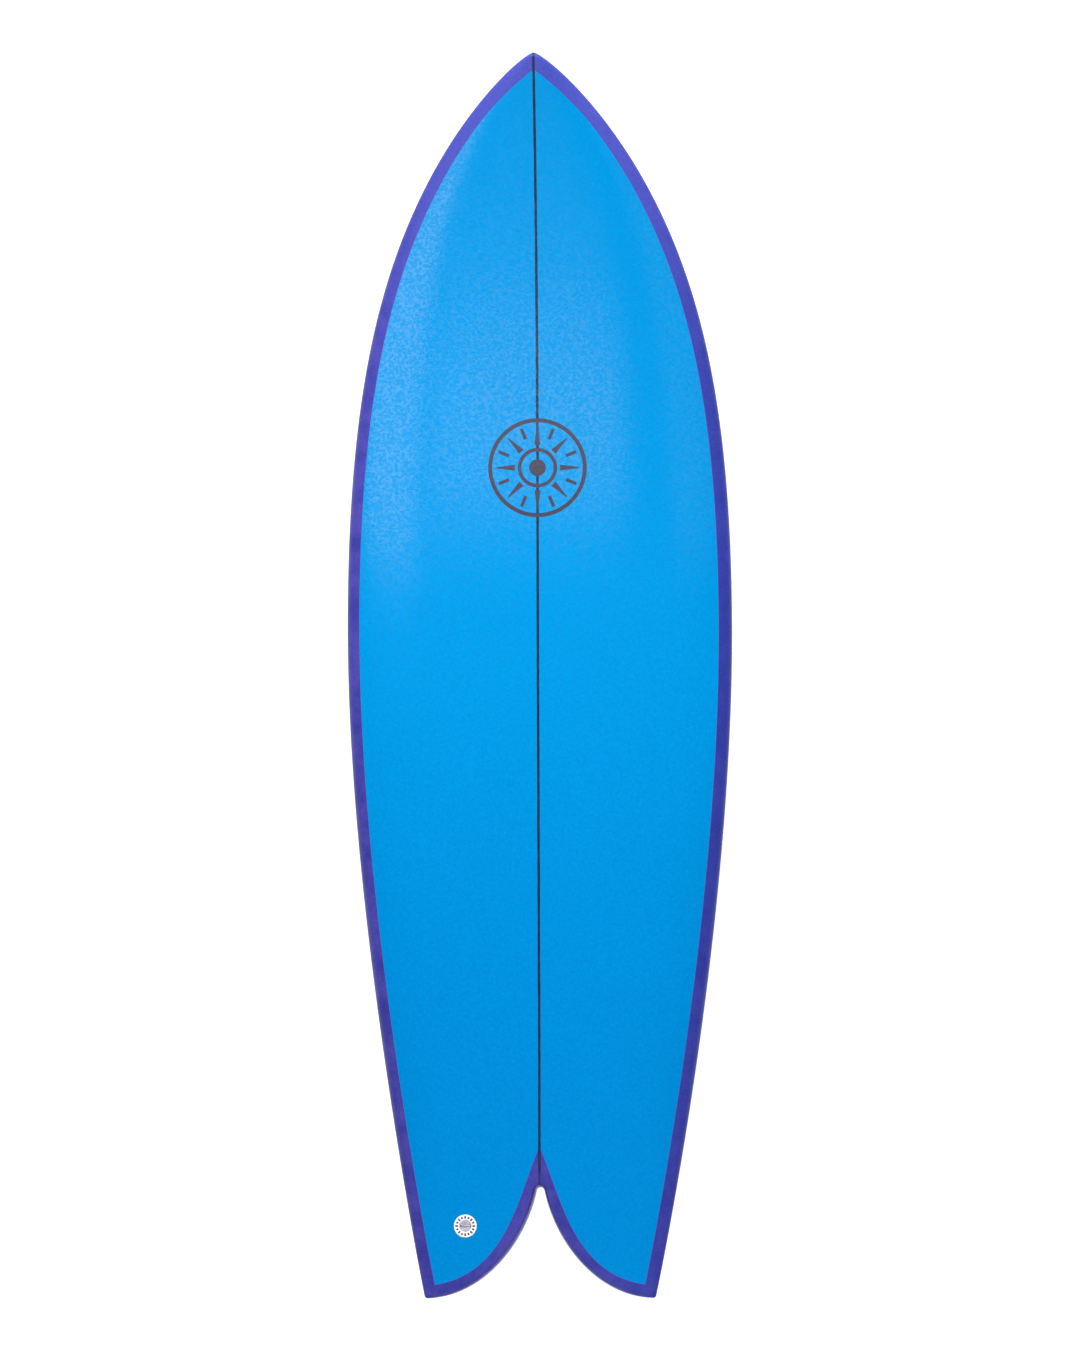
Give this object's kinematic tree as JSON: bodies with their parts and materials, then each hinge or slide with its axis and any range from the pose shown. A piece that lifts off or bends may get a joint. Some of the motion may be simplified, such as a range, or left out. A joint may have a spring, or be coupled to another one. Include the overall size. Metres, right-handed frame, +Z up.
{
  "type": "surfboard",
  "caption": "Short, wide fish surfboard with a swallow tail, blue deck, violet lapped rails, leash plug and removable keel fins.",
  "frame": {"origin": "on the flat of the bottom, under the stringer, midway between the nose and the tail points", "axes": "+Z up to the deck, +Y to the nose, +X to the right of a rider who faces the nose"},
  "size_m": [0.527, 1.702, 0.2162],
  "materials": {
    "blue_resin": "satin",
    "violet_resin": "satin",
    "blank_foam": "matte",
    "dense_foam": "matte",
    "stringer_wood": "satin",
    "decal_ink": "matte",
    "white_plastic": "satin",
    "stainless_steel": "satin",
    "fin_laminate": "gloss"
  },
  "bodies": {
    "board": {"foam_right": "blank_foam", "foam_left": "blank_foam", "stringer": "stringer_wood", "deck_glass": "blue_resin", "bottom_glass": "violet_resin", "deck_decal": "decal_ink", "leash_plug_cup": "white_plastic", "leash_plug_bar": "stainless_steel", "right_fin_box": "white_plastic", "right_fin_box_collar": "dense_foam", "right_front_grub_screw": "stainless_steel", "right_rear_grub_screw": "stainless_steel", "left_fin_box": "white_plastic", "left_fin_box_collar": "dense_foam", "left_front_grub_screw": "stainless_steel", "left_rear_grub_screw": "stainless_steel"},
    "right_keel": {"right_fin": "fin_laminate"},
    "left_keel": {"left_fin": "fin_laminate"}
  },
  "joints": [
    {"name": "right_fin_pull", "type": "slide", "parent": "board", "child": "right_keel", "axis": [-0.0032, -0.0838, -0.9965], "range_m": [0, 0.016]},
    {"name": "left_fin_pull", "type": "slide", "parent": "board", "child": "left_keel", "axis": [0.0032, -0.0838, -0.9965], "range_m": [0, 0.016]}
  ]
}
